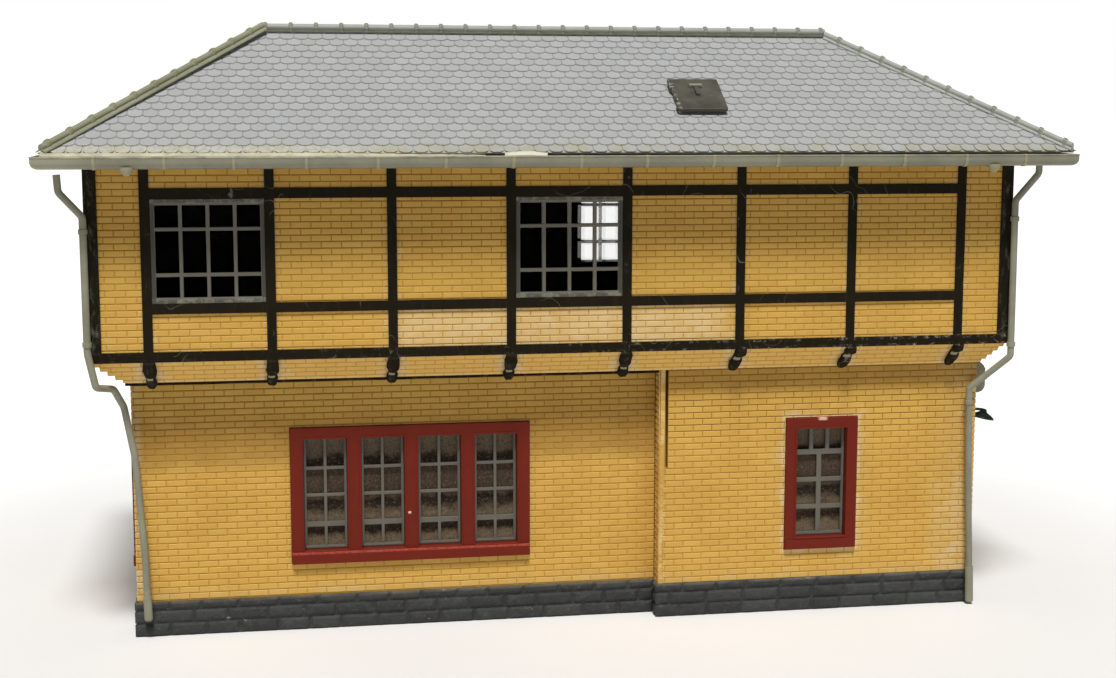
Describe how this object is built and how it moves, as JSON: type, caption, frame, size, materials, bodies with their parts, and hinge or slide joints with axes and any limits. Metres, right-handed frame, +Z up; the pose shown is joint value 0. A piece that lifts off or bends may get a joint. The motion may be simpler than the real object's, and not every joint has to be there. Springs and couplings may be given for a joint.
{
  "type": "model signal box building",
  "caption": "Half-timbered brick railway signal box for a model layout, with a lift-off hipped roof, a roof hatch and an entrance door.",
  "frame": {"origin": "underside of the base plate, centred under the roof", "axes": "+X along the building to the entrance end, +Z up, the front with the two upper windows faces -Y"},
  "size_m": [0.1615, 0.0676, 0.0971],
  "materials": {
    "brick": "satin",
    "stone": "matte",
    "board": "matte",
    "timber": "satin",
    "red_joinery": "satin",
    "grey_joinery": "satin",
    "frosted_sheet": "matte",
    "clear_sheet": "clear",
    "black_card": "matte",
    "roof_tile": "matte",
    "olive_grey": "satin",
    "hatch_grey": "matte",
    "lamp_green": "satin"
  },
  "bodies": {
    "building": {"lower_wall_front_left": "brick", "lower_wall_front_right": "brick", "lower_wall_back": "brick", "lower_wall_left": "brick", "lower_wall_right": "brick", "jetty_cove": "brick", "upper_wall_front": "brick", "upper_wall_back": "brick", "upper_wall_left": "brick", "upper_wall_right": "brick", "plinth": "stone", "base_plate": "board", "upper_floor": "board", "timber_front": "timber", "timber_back": "timber", "timber_left": "timber", "timber_right": "timber", "jetty_soffit": "timber", "window_four_frame": "red_joinery", "window_small_frame": "red_joinery", "window_side_frame": "red_joinery", "door_frame": "red_joinery", "window_four_sash": "grey_joinery", "window_small_sash": "grey_joinery", "window_side_sash": "grey_joinery", "window_upper_front_1": "grey_joinery", "window_upper_front_2": "grey_joinery", "window_upper_back_1": "grey_joinery", "window_upper_back_2": "grey_joinery", "window_upper_back_3": "grey_joinery", "window_upper_back_4": "grey_joinery", "window_upper_left": "grey_joinery", "window_upper_right": "grey_joinery", "window_four_glazing": "frosted_sheet", "window_small_glazing": "frosted_sheet", "window_side_glazing": "frosted_sheet", "glazing_front": "clear_sheet", "glazing_back": "clear_sheet", "glazing_left": "clear_sheet", "glazing_right": "clear_sheet", "light_mask": "black_card", "downpipe_left": "olive_grey", "downpipe_right": "olive_grey", "jetty_console": "olive_grey", "wall_lamp": "lamp_green"},
    "roof": {"ceiling_plate": "board", "roof_panel_front": "roof_tile", "roof_panel_back": "roof_tile", "roof_panel_left": "roof_tile", "roof_panel_right": "roof_tile", "ridge_cap": "olive_grey", "hip_cap_front_left": "olive_grey", "hip_cap_front_right": "olive_grey", "hip_cap_back_left": "olive_grey", "hip_cap_back_right": "olive_grey", "gutter": "olive_grey", "hatch_frame": "hatch_grey"},
    "hatch": {"hatch_lid": "hatch_grey"},
    "door": {"door_leaf": "red_joinery"}
  },
  "joints": [
    {"name": "roof_lift", "type": "slide", "parent": "building", "child": "roof", "axis": [0, 0, 1], "range_m": [0, 0.06]},
    {"name": "hatch_hinge", "type": "hinge", "parent": "roof", "child": "hatch", "pos_m": [0.0219, -0.01538, 0.08765], "axis": [-1, 0, 0], "range_deg": [0, 80]},
    {"name": "door_hinge", "type": "hinge", "parent": "building", "child": "door", "pos_m": [0.07, -0.01783, 0.012], "axis": [0, 0, -1], "range_deg": [0, 95]}
  ]
}
